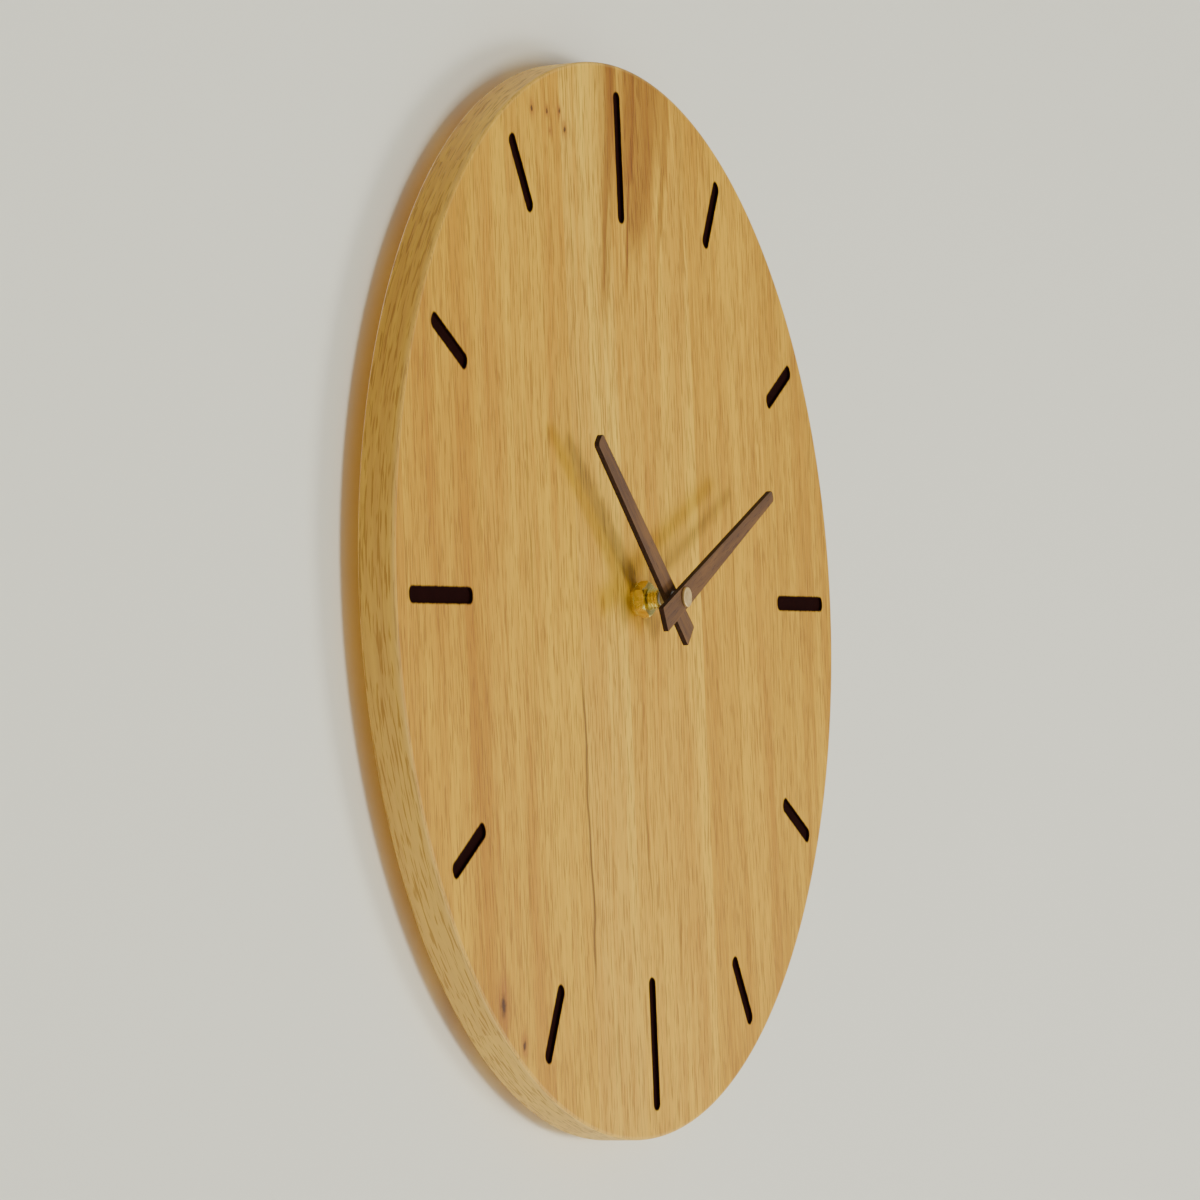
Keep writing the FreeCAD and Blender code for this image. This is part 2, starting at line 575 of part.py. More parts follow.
def make_motor():
    stator_at = level(FOURTH_LEVEL)
    low, high = COIL_Z
    edge = COIL_X + CORE_W / 2
    ring = rod(STATOR_RING_R, *stator_at, ROTOR)
    upper = block((ROTOR[0], edge), stator_at, (high, high + STATOR_ARM))
    leg = block(STATOR_LEG, stator_at, (low - STATOR_ARM, high + STATOR_ARM))
    lower = block((STATOR_LEG[0], edge), stator_at, (low - STATOR_ARM, low))
    hole = rod(MAGNET_R + STATOR_GAP, *stator_at, ROTOR)
    nodes["stator"] = joined([ring, upper, leg, lower]).cut(hole)

    core_y = (stator_at[0] - CORE_T, stator_at[0])
    core_x = (COIL_X - CORE_W / 2, COIL_X + CORE_W / 2)
    nodes["coil_core"] = block(core_x, core_y, (low - STATOR_ARM, high + STATOR_ARM))

    middle = sum(core_y) / 2
    side = COIL_W / 2
    around_x, around_y = (COIL_X - side, COIL_X + side), (middle - side, middle + side)
    sleeve_x = (core_x[0] - BOBBIN_WALL, core_x[1] + BOBBIN_WALL)
    sleeve_y = (core_y[0] - BOBBIN_WALL, core_y[1] + BOBBIN_WALL)
    core_way = block(core_x, core_y, (low, high))
    sleeve = block(sleeve_x, sleeve_y, (low, high))
    ends = [block(around_x, around_y, z) for z in ((low, low + BOBBIN_WALL), (high - BOBBIN_WALL, high))]
    nodes["coil_bobbin"] = joined([sleeve] + ends).cut(core_way)
    inset = BOBBIN_WALL / 2
    wound_z = (low + BOBBIN_WALL, high - BOBBIN_WALL)
    wound = block((around_x[0] + inset, around_x[1] - inset),
                  (around_y[0] + inset, around_y[1] - inset), wound_z)
    wound = wound.makeFillet(BOBBIN_WALL, edges_along(wound, V(0, 0, 1)))
    nodes["coil_winding"] = wound.cut(block(sleeve_x, sleeve_y, wound_z))


def make_electronics():
    board_at = level(BOARD_LEVEL)
    board_back = board_at[1]
    left, right, low, high = BOARD
    nodes["circuit_board"] = block((left, right), board_at, (low, high))
    chip_x, chip_z = (left + right + CHIP_W) / 2, (low + high) / 2
    nodes["driver_chip"] = block((chip_x - CHIP_W, chip_x), (board_back, board_back + CHIP_T),
                                 (chip_z, chip_z + CHIP_W))
    can_x = left + 3 * CRYSTAL_R
    nodes["quartz_crystal"] = Part.makeCylinder(CRYSTAL_R, CRYSTAL_L,
                                                V(can_x, board_back + CRYSTAL_R, chip_z), V(0, 0, 1))

    # The battery lies along X with its positive end to the right.
    end = INSIDE_X - LEAF_T - 0.2
    nub_start = end - CELL_NUB
    can = Part.makeCylinder(CELL_D / 2, CELL_BODY, V(nub_start - CELL_BODY, CELL_Y, CELL_Z), V(1, 0, 0))
    rims = [e for e in can.Edges if isinstance(e.Curve, Part.Circle)]
    can = can.makeFillet(CELL_GAP * 2, rims)
    nub = Part.makeCylinder(CELL_NUB_D / 2, CELL_NUB + 1, V(nub_start - 1, CELL_Y, CELL_Z), V(1, 0, 0))
    nodes["battery"] = joined([can, nub])

    contact_y = (CELL_Y - CONTACT_W / 2, CELL_Y + CONTACT_W / 2)
    reach_z = (CELL_Z - CONTACT_W / 2, INSIDE_LOW + STRIP_H)
    plus = block((INSIDE_X - LEAF_T, INSIDE_X), contact_y, reach_z)
    strip_y = (board_back - STRIP_H, board_back)
    strip = block((right - 1, INSIDE_X), strip_y, (INSIDE_LOW, INSIDE_LOW + LEAF_T))
    tab = block((right - 1, right), strip_y, (INSIDE_LOW, low))
    nodes["contact_positive"] = joined([plus, strip, tab])
    minus = block((-INSIDE_X, -INSIDE_X + LEAF_T), contact_y, (reach_z[0], low + STRIP_H))
    # A leaf spring bows out towards the battery.
    start, stop = -INSIDE_X + LEAF_T, CELL_Z
    bow = [(start, stop - 3), (start + LEAF_BOW, stop), (start, stop + 3), (start, stop + 3 - LEAF_T),
           (start + LEAF_BOW - LEAF_T, stop), (start, stop - 3 + LEAF_T)]
    leaf = prism(bow, CELL_Y - 2, CELL_Y + 2)
    nodes["contact_negative"] = joined([minus, leaf])


# ---- hanger and bumpers
def hanger_screw(place):
    """A countersunk cross-head screw."""
    head = Part.makeCone(SCREW_R, SCREW_HEAD_R, HANGER_T, V(place[0], BACK_Y - HANGER_T, place[1]), Y_AXIS)
    shank = rod(SCREW_R, BACK_Y - SCREW_L, BACK_Y - HANGER_T, place)
    width, length, depth = SCREW_RECESS
    cross = []
    for w, h in ((width / 2, length / 2), (length / 2, width / 2)):
        cross.append(block((place[0] - w, place[0] + w), (BACK_Y - depth, BACK_Y),
                           (place[1] - h, place[1] + h)))
    return joined([head, shank]).cut(cross)


def make_back_fittings():
    plate_y = (BACK_Y - HANGER_T, BACK_Y)
    round_end = rod(KEYHOLE_R, *plate_y, (0, KEYHOLE_Z))
    slot_end = rod(KEYHOLE_SLOT_W / 2, *plate_y, (0, KEYHOLE_Z + KEYHOLE_TRAVEL))
    slot = block((-KEYHOLE_SLOT_W / 2, KEYHOLE_SLOT_W / 2), plate_y, (KEYHOLE_Z, KEYHOLE_Z + KEYHOLE_TRAVEL))
    sinks = [Part.makeCone(SCREW_R, SCREW_HEAD_R, HANGER_T, V(x, plate_y[0], z), Y_AXIS)
             for x, z in SCREW_PLACES]
    nodes["keyhole_plate"] = hanger_plate_blank(*plate_y).cut([round_end, slot_end, slot] + sinks)
    nodes["plate_screws"] = Part.makeCompound([hanger_screw(place) for place in SCREW_PLACES])

    bumpers = []
    for side in (-1, 1):
        place = stepped(CENTER, DIAL_R - BUMPER_TO_RIM, math.radians(-90 + side * BUMPER_AT))
        bumper = rod(BUMPER_R, BACK_Y, 0, place)
        rim = [e for e in bumper.Edges if isinstance(e.Curve, Part.Circle) and abs(e.Curve.Center.y) < 1e-6]
        bumpers.append(bumper.makeFillet(BUMPER_EDGE_R, rim))
    nodes["wall_bumpers"] = Part.makeCompound(bumpers)


def finish():
    os.makedirs("parts", exist_ok=True)
    for name, shape in nodes.items():
        shape.exportStep("parts/%s.step" % name)
        print("%-18s %9.1f mm3  solids %d  valid %s"
              % (name, shape.Volume, len(shape.Solids), shape.isValid()))


make_dial()
make_hands()
make_stem()
make_train()
make_case()
make_motor()
make_electronics()
make_back_fittings()
finish()
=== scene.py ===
# %% [markdown]
# # A round oak wall clock
# The clock is a disc of oak staves with twelve burnt hour grooves, two walnut hands on a
# threaded brass stem, and a battery movement let into the back.  The sizes come from the
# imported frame: this lesson gives each piece its finished shape and its material.

# %% Load the frame
import bpy
import json
import math
from mathutils import Matrix, Vector


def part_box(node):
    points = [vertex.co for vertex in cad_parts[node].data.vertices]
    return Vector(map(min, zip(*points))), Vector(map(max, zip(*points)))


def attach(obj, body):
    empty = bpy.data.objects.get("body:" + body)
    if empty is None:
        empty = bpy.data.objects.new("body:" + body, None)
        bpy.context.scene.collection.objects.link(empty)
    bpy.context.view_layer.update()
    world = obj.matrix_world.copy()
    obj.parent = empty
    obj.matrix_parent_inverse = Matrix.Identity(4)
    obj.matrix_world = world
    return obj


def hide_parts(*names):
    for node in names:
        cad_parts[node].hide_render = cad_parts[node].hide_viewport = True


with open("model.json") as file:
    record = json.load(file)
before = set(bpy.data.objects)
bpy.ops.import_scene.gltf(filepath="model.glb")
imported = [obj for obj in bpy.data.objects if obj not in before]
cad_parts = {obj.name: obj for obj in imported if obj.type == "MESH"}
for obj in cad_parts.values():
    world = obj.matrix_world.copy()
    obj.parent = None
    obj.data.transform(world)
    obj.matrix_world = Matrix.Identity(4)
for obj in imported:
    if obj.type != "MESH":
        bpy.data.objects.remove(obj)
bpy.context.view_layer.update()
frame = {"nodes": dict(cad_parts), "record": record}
print("nodes in the frame:", len(frame["nodes"]))

# %% [markdown]
# Most of the sizes are read from the frame's boxes.  The hands lie at an angle, so the box of
# a hand doesn't give its length, and their few sizes are written here.

# %% Sizes
MM = 0.001
STAVES = ["stave_%d" % n for n in range(1, 7)]
FACE_Y, BACK_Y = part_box("stave_1")[0].y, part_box("stave_1")[1].y
DIAL_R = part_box("stave_6")[1].x
EDGE_R = 1.0 * MM
MARK_W, MARK_DEPTH, MARK_CORNER_R = 5.2 * MM, 1.0 * MM, 2.2 * MM
MARK_OUTER = DIAL_R - 10.5 * MM
LONG_MARK, SHORT_MARK = 48.5 * MM, 29.5 * MM
HAND_TAIL, HAND_TAIL_W, HAND_CORNER_R = 21 * MM, 9.6 * MM, 0.5 * MM
MINUTE_LENGTH, MINUTE_TIP_W, MINUTE_AT = 100 * MM, 4.5 * MM, math.radians(66)
HOUR_LENGTH, HOUR_TIP_W, HOUR_AT = 83 * MM, 6 * MM, math.radians(-47)
print("dial radius %.4f m, thickness %.4f m" % (DIAL_R, BACK_Y - FACE_Y))

# %% [markdown]
# The camera comes first, because every piece is judged through it.  It looks along the wall
# from the left, a little below the middle, through a long lens, and it is rolled by a couple
# of degrees, so its three directions are worked out and put in its matrix.

# %% Camera
VIEW_TURN, VIEW_RISE, VIEW_ROLL = math.radians(65.95), math.radians(1.65), math.radians(-2.31)
CAMERA_FROM_FACE = Vector((-7.768, -3.392, -0.242)) * DIAL_R
LENS_MM, SENSOR_MM = 136.6, 36.0


def add_camera():
    ahead = Vector((math.sin(VIEW_TURN) * math.cos(VIEW_RISE),
                    math.cos(VIEW_TURN) * math.cos(VIEW_RISE), math.sin(VIEW_RISE)))
    level = Vector((math.cos(VIEW_TURN), -math.sin(VIEW_TURN), 0))
    upright = level.cross(ahead)
    right = math.cos(VIEW_ROLL) * level + math.sin(VIEW_ROLL) * upright
    up = math.cos(VIEW_ROLL) * upright - math.sin(VIEW_ROLL) * level
    place = Vector((0, FACE_Y, 0)) + CAMERA_FROM_FACE
    lens = bpy.data.cameras.new("camera")
    lens.lens, lens.sensor_width = LENS_MM, SENSOR_MM
    camera = bpy.data.objects.new("camera", lens)
    bpy.context.scene.collection.objects.link(camera)
    camera.matrix_world = Matrix.Translation(place) @ Matrix((right, up, -ahead)).transposed().to_4x4()
    bpy.context.scene.camera = camera
    return camera


print("camera at", tuple(round(v, 3) for v in add_camera().location))

# %% [markdown]
# ## Helpers for modelling
# An operator acts on everything that is selected, so each helper first selects only its own
# piece.  Every primitive gets its place baked into its mesh, because the finished objects all
# sit at the origin.

# %% Selecting and applying
def only(piece):
    """Selects one piece alone and makes it the active one."""
    if bpy.context.object and bpy.context.object.mode != "OBJECT":
        bpy.ops.object.mode_set(mode="OBJECT")
    bpy.ops.object.select_all(action="DESELECT")
    piece.select_set(True)
    bpy.context.view_layer.objects.active = piece
    return piece


def settle(piece):
    """Puts an object's place, turn and scale into its mesh."""
    only(piece)
    bpy.ops.object.transform_apply(location=True, rotation=True, scale=True)
    return piece


def modify(piece, kind, **settings):
    """Adds a modifier and applies it."""
    modifier = piece.modifiers.new(kind.lower(), kind)
    for name, value in settings.items():
        setattr(modifier, name, value)
    only(piece)
    bpy.ops.object.modifier_apply(modifier=modifier.name)
    return piece


def cut_away(piece, cutter):
    """Takes one shape out of another, and throws the cutter away."""
    modify(piece, "BOOLEAN", object=cutter, operation="DIFFERENCE", solver="EXACT")
    bpy.data.objects.remove(cutter)
    return piece


def ease(piece, width, segments=2, over=40):
    """Rounds the edges that turn by more than an angle."""
    return modify(piece, "BEVEL", width=width, segments=segments, limit_method="ANGLE",
                  angle_limit=math.radians(over))


def smooth(piece, angle=35):
    """Smooth shading between sharp edges, weighted so that large flat faces stay flat."""
    only(piece)
    bpy.ops.object.shade_smooth_by_angle(angle=math.radians(angle))
    return modify(piece, "WEIGHTED_NORMAL", keep_sharp=True)


# %% Picking faces and edges in edit mode
def pick(piece, kind, test):
    """Opens edit mode with only the faces or edges that pass the test selected."""
    only(piece)
    bpy.ops.object.mode_set(mode="EDIT")
    bpy.ops.mesh.select_mode(type=kind)
    bpy.ops.mesh.select_all(action="DESELECT")
    bpy.ops.object.mode_set(mode="OBJECT")
    mesh = piece.data
    for part in mesh.polygons if kind == "FACE" else mesh.edges:
        part.select = test(part)
    bpy.ops.object.mode_set(mode="EDIT")


def close_edit():
    bpy.ops.object.mode_set(mode="OBJECT")


def ends(piece, edge):
    """The two points of an edge."""
    first, second = edge.vertices
    return piece.data.vertices[first].co, piece.data.vertices[second].co


def runs_along_y(piece, edge):
    a, b = ends(piece, edge)
    return abs((b - a).normalized().y) > 0.99


def slice_off(piece, point, normal):
    """Cuts a piece with a plane, throws away the side that the normal points to, and caps it."""
    pick(piece, "FACE", lambda face: True)
    bpy.ops.mesh.bisect(plane_co=point, plane_no=normal, use_fill=True, clear_outer=True)
    close_edit()
    return piece


# %% Starting shapes
def round_bar(name, radius, front, back, sides=96, at=(0, 0)):
    """A round bar along Y, the direction of the hands' axis."""
    bpy.ops.object.select_all(action="DESELECT")
    bpy.ops.mesh.primitive_cylinder_add(
        vertices=sides, radius=radius, depth=back - front, end_fill_type="NGON",
        location=(at[0], (front + back) / 2, at[1]), rotation=(math.pi / 2, 0, 0))
    bpy.context.object.name = name
    return settle(bpy.context.object)


def slab(name, x, y, z, corner=0.0):
    """A box from its low and high x, y and z, with the corners along Y rounded."""
    bpy.ops.object.select_all(action="DESELECT")
    middle = [(low + high) / 2 for low, high in (x, y, z)]
    bpy.ops.mesh.primitive_cube_add(size=1, location=middle, scale=(x[1] - x[0], y[1] - y[0], z[1] - z[0]))
    bpy.context.object.name = name
    piece = settle(bpy.context.object)
    if corner:
        pick(piece, "EDGE", lambda edge: runs_along_y(piece, edge))
        bpy.ops.mesh.bevel(offset=corner, segments=6, affect="EDGES")
        close_edit()
    return piece


def copied(piece, name, turn=0.0):
    """A copy with its own mesh, turned about the hands' axis."""
    twin = piece.copy()
    twin.data = piece.data.copy()
    twin.name = name
    bpy.context.scene.collection.objects.link(twin)
    twin.rotation_euler = (0, turn, 0)
    return settle(twin)


def merged(pieces, name):
    """Several pieces made one object."""
    only(pieces[0])
    for piece in pieces:
        piece.select_set(True)
    bpy.ops.object.join()
    pieces[0].name = name
    return pieces[0]


# %% [markdown]
# ## Helpers for materials
# A material is a graph of nodes.  Here a socket is wrapped in a small class, so that shader
# maths reads like ordinary Python: `1 - mask` adds a Math node.  Every other node comes from
# one method, which sets the node's own settings first and then its inputs.

# %% Shader maths
class Wire:
    def __init__(self, shader, socket):
        self.shader, self.socket = shader, socket

    def maths(self, operation, *values):
        return self.shader.maths(operation, *values)

    def __add__(self, other):
        return self.maths("ADD", self, other)

    def __sub__(self, other):
        return self.maths("SUBTRACT", self, other)

    def __rsub__(self, other):
        return self.maths("SUBTRACT", other, self)

    def __mul__(self, other):
        return self.maths("MULTIPLY", self, other)

    def __truediv__(self, other):
        return self.maths("DIVIDE", self, other)

    def size(self):
        return self.maths("ABSOLUTE", self)

    def larger(self, other):
        return self.maths("MAXIMUM", self, other)

    __radd__, __rmul__ = __add__, __mul__


def set_stops(elements, stops):
    """Gives a colour ramp its positions and colours."""
    while len(elements) < len(stops):
        elements.new(1.0)
    for element, (position, color) in zip(elements, stops):
        element.position, element.color = position, (*color, 1)


class Shader:
    def __init__(self, name):
        self.material = bpy.data.materials.new(name)
        self.material.use_nodes = True
        self.tree = self.material.node_tree
        self.tree.nodes.clear()
        self.place = self.node("TexCoord", {}, {}, "Object")

    def maths(self, operation, *values):
        return self.node("Math", {"operation": operation}, dict(enumerate(values)))

    def node(self, kind, settings, inputs, out=0):
        made = self.tree.nodes.new("ShaderNode" + kind)
        for name, value in settings.items():
            if name == "stops":
                set_stops(made.color_ramp.elements, value)
            else:
                setattr(made, name, value)
        for name, value in inputs.items():
            if isinstance(value, Wire):
                self.tree.links.new(value.socket, made.inputs[name])
            else:
                made.inputs[name].default_value = value
        return Wire(self, made.outputs[out])

    def axis(self, letter, vector=None):
        return self.node("SeparateXYZ", {}, {0: vector or self.place}, letter)

    def mapped(self, scale=(1, 1, 1), shift=(0, 0, 0), turn=(0, 0, 0), vector=None):
        return self.node("Mapping", {}, {"Vector": vector or self.place, "Scale": scale,
                                         "Location": shift, "Rotation": turn})

    def noise(self, vector, scale, detail=2.0, distortion=0.0):
        return self.node("TexNoise", {}, {"Vector": vector, "Scale": scale, "Detail": detail,
                                          "Roughness": 0.55, "Distortion": distortion})

    def fade(self, value, low, high, start=0.0, stop=1.0):
        """A smooth change from start to stop as a value goes from low to high."""
        return self.node("MapRange", {"interpolation_type": "SMOOTHSTEP"},
                         {0: value, 1: low, 2: high, 3: start, 4: stop})

    def ramp(self, value, stops):
        return self.node("ValToRGB", {"stops": stops}, {0: value})

    def mix(self, factor, first, second, how="MIX"):
        return self.node("Mix", {"data_type": "RGBA", "blend_type": how},
                         {0: factor, 6: first, 7: second}, 2)

    def bump(self, height, distance):
        return self.node("Bump", {}, {"Height": height, "Distance": distance, "Strength": 1.0})

    def skin(self, color, roughness, metallic=0.0, normal=None, specular=0.5):
        inputs = {"Base Color": color, "Roughness": roughness, "Metallic": metallic,
                  "Specular IOR Level": specular}
        if normal:
            inputs["Normal"] = normal
        return self.node("BsdfPrincipled", {}, inputs)

    def finish(self, *args, **settings):
        return self.show(self.skin(*args, **settings))

    def show(self, surface):
        output = self.tree.nodes.new("ShaderNodeOutputMaterial")
        self.tree.links.new(surface.socket, output.inputs["Surface"])
        return self.material


def tint(red, green, blue):
    """A colour as a painter mixes it, 0 to 255, for a shader that counts light."""
    def linear(value):
        value /= 255
        return value / 12.92 if value <= 0.04045 else ((value + 0.055) / 1.055) ** 2.4
    return tuple(linear(value) for value in (red, green, blue))


def full(color):
    return (*color, 1)


# %% [markdown]
# ## Oak
# Oak's fibres run up the staves, so all its patterns are noise stretched along Z: broad bands,
# narrow streaks and the short dark pores.  Because the pattern is solid, it comes out as long
# grain on the face.  On the rim the growth layers show as lines that follow it, so there the
# pattern is squeezed along X and only Y makes it change fast.  Each stave is cut from another
# part of the tree, and so gets its own shift and tint.

# %% Oak figure
GRAIN_STRETCH = 0.035
LAYERS = (0.22, 2.0, 0.02)
RIM_SQUEEZE = 0.07


def facing(s):
    """1 on the front and the back of the dial, and 0 on its rim."""
    return s.maths("GREATER_THAN", s.axis("Y", s.node("NewGeometry", {}, {}, "Normal")).size(), 0.7)


def oak_grain(s, seed, on_face):
    """Bands, growth layers, streaks and fine lines in one figure, the streaks alone, and the pores."""
    shift = (seed * 0.37, seed * 0.61, seed * 0.23)
    sway = s.noise(s.mapped((1, 1, 0.5), shift), 9.0, 2.0)
    x = (s.axis("X") + sway * 0.012) * (on_face * (1 - RIM_SQUEEZE) + RIM_SQUEEZE)
    along = s.node("CombineXYZ", {}, {0: x, 1: s.axis("Y"), 2: s.axis("Z")})
    broad = s.noise(s.mapped((1, 1, GRAIN_STRETCH), shift, vector=along), 60.0, 2.0)
    layer = s.noise(s.mapped(LAYERS, shift, vector=along), 330.0, 2.0)
    streak = s.noise(s.mapped((1, 1, GRAIN_STRETCH * 0.7), shift, vector=along), 260.0, 3.0)
    fine = s.noise(s.mapped((1, 1, GRAIN_STRETCH * 1.2), shift, vector=along), 1000.0, 2.0)
    dash = s.noise(s.mapped((1, 1, 0.055), shift, vector=along), 1600.0, 1.0)
    figure = broad * 0.30 + layer * 0.18 + streak * 0.28 + fine * 0.24
    return figure, streak, s.fade(dash, 0.53, 0.64)


# %% [markdown]
# A few marks belong to one place in the wood: the dark heartwood that comes down from the top
# beside 12 o'clock, thin dark veins, and small knots near the rim.  Each is a mask that grows
# from a distance.

# %% Heartwood
# each tongue of dark wood in millimetres: x at its top and at its tip, z of its tip, half its
# width at the top, and how dark it is
TONGUES = ((-6, -20, 98, 8, 0.90), (15, 1, 104, 4.2, 1.0), (47, 31, 100, 5.0, 0.65), (26, 12, 120, 30, 0.75),
           (13, 3, 136, 12, 0.80), (-8, -18, 90, 14, 0.50), (62, 55, 112, 9, 0.35))
TONGUE_TOP = 200 * MM
HEART_TINT = (0.44, 0.31, 0.20, 1)


def heartwood(s, streak):
    """Dark tongues that come down from the top and narrow to their tips."""
    x, z = s.axis("X"), s.axis("Z")
    ragged = (streak - 0.5) * (9 * MM)
    total = None
    for top, tip, low, half, depth in TONGUES:
        rise = s.fade(z, low * MM, TONGUE_TOP)
        middle = rise * ((top - tip) * MM) + tip * MM
        width = rise * (0.7 * half * MM) + 0.3 * half * MM
        off = ((x + ragged - middle) / width).size()
        tongue = s.fade(off, 0.25, 1.1, depth, 0.0) * s.fade(z, low * MM, (low + 24) * MM)
        total = total.larger(tongue) if total else tongue
    return total


# %% Veins and knots
# x, low z, high z, half width in millimetres, and how dark each vein is
VEINS = ((-50.5, -150, -18, 0.9, 0.80), (-46, 20, 190, 0.4, 0.40), (1.5, -125, -55, 0.6, 0.55),
         (28, -150, -105, 1.0, 0.45), (-33, -182, -148, 1.2, 0.60), (41, -60, 20, 0.5, 0.35),
         (96, -90, 60, 0.5, 0.35), (-92, -60, 80, 0.5, 0.35), (-18, -60, 10, 0.5, 0.40))
# x, z, radius in millimetres, and how far each knot is drawn out upwards
KNOTS = ((-76, 176, 1.7, 1.6), (-63, 176, 1.2, 1.4), (-52, 177, 1.4, 1.6), (-61, 169, 1.0, 1.2),
         (-48, 171, 1.6, 1.6), (-129, -142, 4.2, 1.9), (-113, -157, 2.4, 1.6))


def veins(s):
    """Thin dark lines that wander a little to each side."""
    x, z = s.axis("X"), s.axis("Z")
    wander = s.noise(s.mapped((0.2, 0.2, 1)), 22.0, 2.0) - 0.5
    total = None
    for at, low, high, half, depth in VEINS:
        off = (x - at * MM + wander * (9 * MM)).size()
        line = s.fade(off, 0.2 * half * MM, 1.7 * half * MM, depth, 0.0)
        line = line * s.fade(z, low * MM, (low + 25) * MM) * s.fade(z, (high - 25) * MM, high * MM, 1.0, 0.0)
        total = total.larger(line) if total else line
    return total


def knots(s):
    """The dark eyes of the knots, and the brown swirls round them."""
    eyes, swirls = None, None
    ragged = (s.noise(s.mapped(), 420.0, 3.0) - 0.5) * (2.4 * MM)
    for x, z, radius, drawn in KNOTS:
        off = s.node("VectorMath", {"operation": "DISTANCE"},
                     {0: s.mapped((1, 0, 1 / drawn)), 1: (x * MM, 0, z * MM / drawn)}, "Value") + ragged
        rings = s.maths("SINE", off * (2800 / radius)) * 0.5 + 0.5
        eye = s.fade(off, 0.15 * radius * MM, 0.75 * radius * MM, 1.0, 0.0)
        swirl = s.fade(off, radius * MM, 2.6 * radius * MM, 1.0, 0.0) * (rings * 0.6 + 0.4)
        eyes = eyes.larger(eye) if eyes else eye
        swirls = swirls.larger(swirl) if swirls else swirl
    return eyes, swirls


# %% [markdown]
# The hour grooves were burnt in, so their walls are charred and a thin brown halo lies round
# each.  All twelve come from one mark: the angle round the dial is folded to the nearest hour.

# %% Charring round the hour grooves
CHAR_HALO = 0.9 * MM


def from_axis(s):
    """How far a point lies from the hands' axis."""
    return s.node("VectorMath", {"operation": "LENGTH"}, {0: s.mapped((1, 0, 1))}, "Value")


def folded_mark(s, angle, radius, step, length):
    """How far a point lies outside the nearest round-cornered mark of a ring of marks."""
    turn = angle - s.maths("SNAP", angle + step / 2, step)
    across = (radius * s.maths("SINE", turn)).size() - (MARK_W / 2 - MARK_CORNER_R)
    along = radius * s.maths("COSINE", turn)
    beyond = (along - (MARK_OUTER - MARK_CORNER_R)).larger((MARK_OUTER - length + MARK_CORNER_R) - along)
    corner = s.node("CombineXYZ", {}, {0: across.larger(0), 1: beyond.larger(0)})
    return s.node("VectorMath", {"operation": "LENGTH"}, {0: corner}, "Value") - MARK_CORNER_R


def charring(s):
    angle = s.maths("ARCTAN2", s.axis("X"), s.axis("Z"))
    radius = from_axis(s)
    short = folded_mark(s, angle, radius, math.pi / 6, SHORT_MARK)
    long = folded_mark(s, angle, radius, math.pi / 2, LONG_MARK)
    outside = s.maths("MINIMUM", short, long)
    uneven = (s.noise(s.mapped((1, 1, 0.3)), 700.0, 2.0) - 0.5) * (0.5 * MM)
    near_face = s.fade(s.axis("Y"), FACE_Y + MARK_DEPTH + 0.1 * MM, FACE_Y + MARK_DEPTH + 0.4 * MM, 1.0, 0.0)
    return s.fade(outside + uneven, 0.05 * MM, CHAR_HALO, 1.0, 0.0) * near_face


# %% Oak material
CHAR_TINT = full(tint(22, 4, 3))
PORE_TINT, VEIN_TINT = full(tint(134, 84, 26)), full(tint(92, 50, 14))
EYE_TINT, SWIRL_TINT = full(tint(62, 30, 12)), full(tint(158, 92, 34))
# the first pale tint is a painted highlight for the rim's front edge; the second is painted light that makes
# the rim paler towards the bottom
ARRIS_HIGHLIGHT_TINT, RIM_PAINTED_LIGHT_TINT = full(tint(240, 206, 120)), full(tint(226, 190, 108))


def painted_arris_highlight(s):
    """A painted highlight: the front edge of the rim made paler, as where the eased edge catches the light.
    """
    outer = s.fade(from_axis(s), DIAL_R - 1.7 * MM, DIAL_R - 0.7 * MM)
    return outer * s.fade(s.axis("Y"), FACE_Y + 0.5 * MM, FACE_Y + 2.4 * MM, 1.0, 0.0)


def oak(name, seed, pale, deep, has_heart):
    s = Shader(name)
    on_face = facing(s)
    figure, streak, pore = oak_grain(s, seed, on_face)
    between = tuple((a + b) / 2 for a, b in zip(pale, deep))
    color = s.ramp(figure, [(0.41, deep), (0.5, between), (0.59, pale)])
    # painted light: the rim is mixed towards a pale tint, a little at the top and more towards the bottom, as
    # if lit from below
    color = s.mix((1 - on_face) * s.fade(s.axis("Z"), 120 * MM, -180 * MM, 0.22, 0.62), color, RIM_PAINTED_LIGHT_TINT)
    color = s.mix(pore * 0.56, color, PORE_TINT)
    color = s.mix(heartwood(s, streak), color, HEART_TINT, "MULTIPLY") if has_heart else color
    color = s.mix(veins(s), color, VEIN_TINT)
    eyes, swirls = knots(s)
    color = s.mix(swirls * on_face * 0.6, color, SWIRL_TINT)
    color = s.mix(eyes * on_face * 0.9, color, EYE_TINT)
    # a painted highlight along the front edge of the rim
    color = s.mix(painted_arris_highlight(s) * 0.2, color, ARRIS_HIGHLIGHT_TINT)
    wood = s.skin(color, 0.5 + streak * 0.14, normal=s.bump(figure - pore * 0.4, 0.15 * MM), specular=0.3)
    burnt = charring(s)
    char = s.skin(s.mix(streak, CHAR_TINT, full(tint(34, 8, 5))), 0.95, specular=0.05)
    return s.show(s.node("MixShader", {}, {0: burnt, 1: wood, 2: char}))


